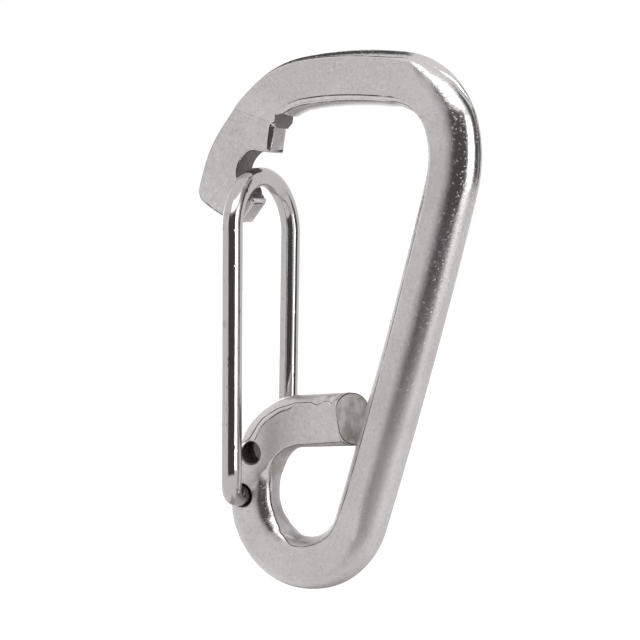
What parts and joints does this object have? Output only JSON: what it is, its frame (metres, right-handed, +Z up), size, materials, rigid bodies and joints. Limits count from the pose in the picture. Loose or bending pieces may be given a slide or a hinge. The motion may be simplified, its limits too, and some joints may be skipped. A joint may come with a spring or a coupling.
{
  "type": "wire-gate snap hook",
  "caption": "Asymmetric bent-bar snap hook with a rope eye and a sprung wire gate that closes onto a notched nose.",
  "frame": {"origin": "on the inside of the top bend, where the hook hangs", "axes": "+Z up along the hook from the rope eye to the top bend, +X from the gate to the back bar, front flat faces -Y"},
  "size_m": [0.0462, 0.0194, 0.0799],
  "materials": {
    "hook_steel": "satin, tumbled stainless bar with pressed flats",
    "gate_wire": "bright drawn stainless wire with small nicks"
  },
  "bodies": {
    "hook": {"hook_body": "hook_steel"},
    "gate_front": {"gate_front_leg": "gate_wire"},
    "gate_rear": {"gate_rear_leg": "gate_wire"}
  },
  "joints": [
    {"name": "gate_swing", "type": "hinge", "parent": "hook", "child": "gate_front", "pos_m": [-0.0175, 0, -0.058], "axis": [0, 1, 0], "range_deg": [0, 24], "stiffness_Nm_per_rad": 0.6, "springref_deg": -17.19},
    {"name": "gate_twist", "type": "hinge", "parent": "gate_front", "child": "gate_rear", "pos_m": [-0.0136, 0, -0.0106], "axis": [0, 1, 0], "range_deg": [0, 4]}
  ],
  "couplings": [
    {"joint": "gate_twist", "follows": "gate_swing", "ratio": 0.165}
  ]
}
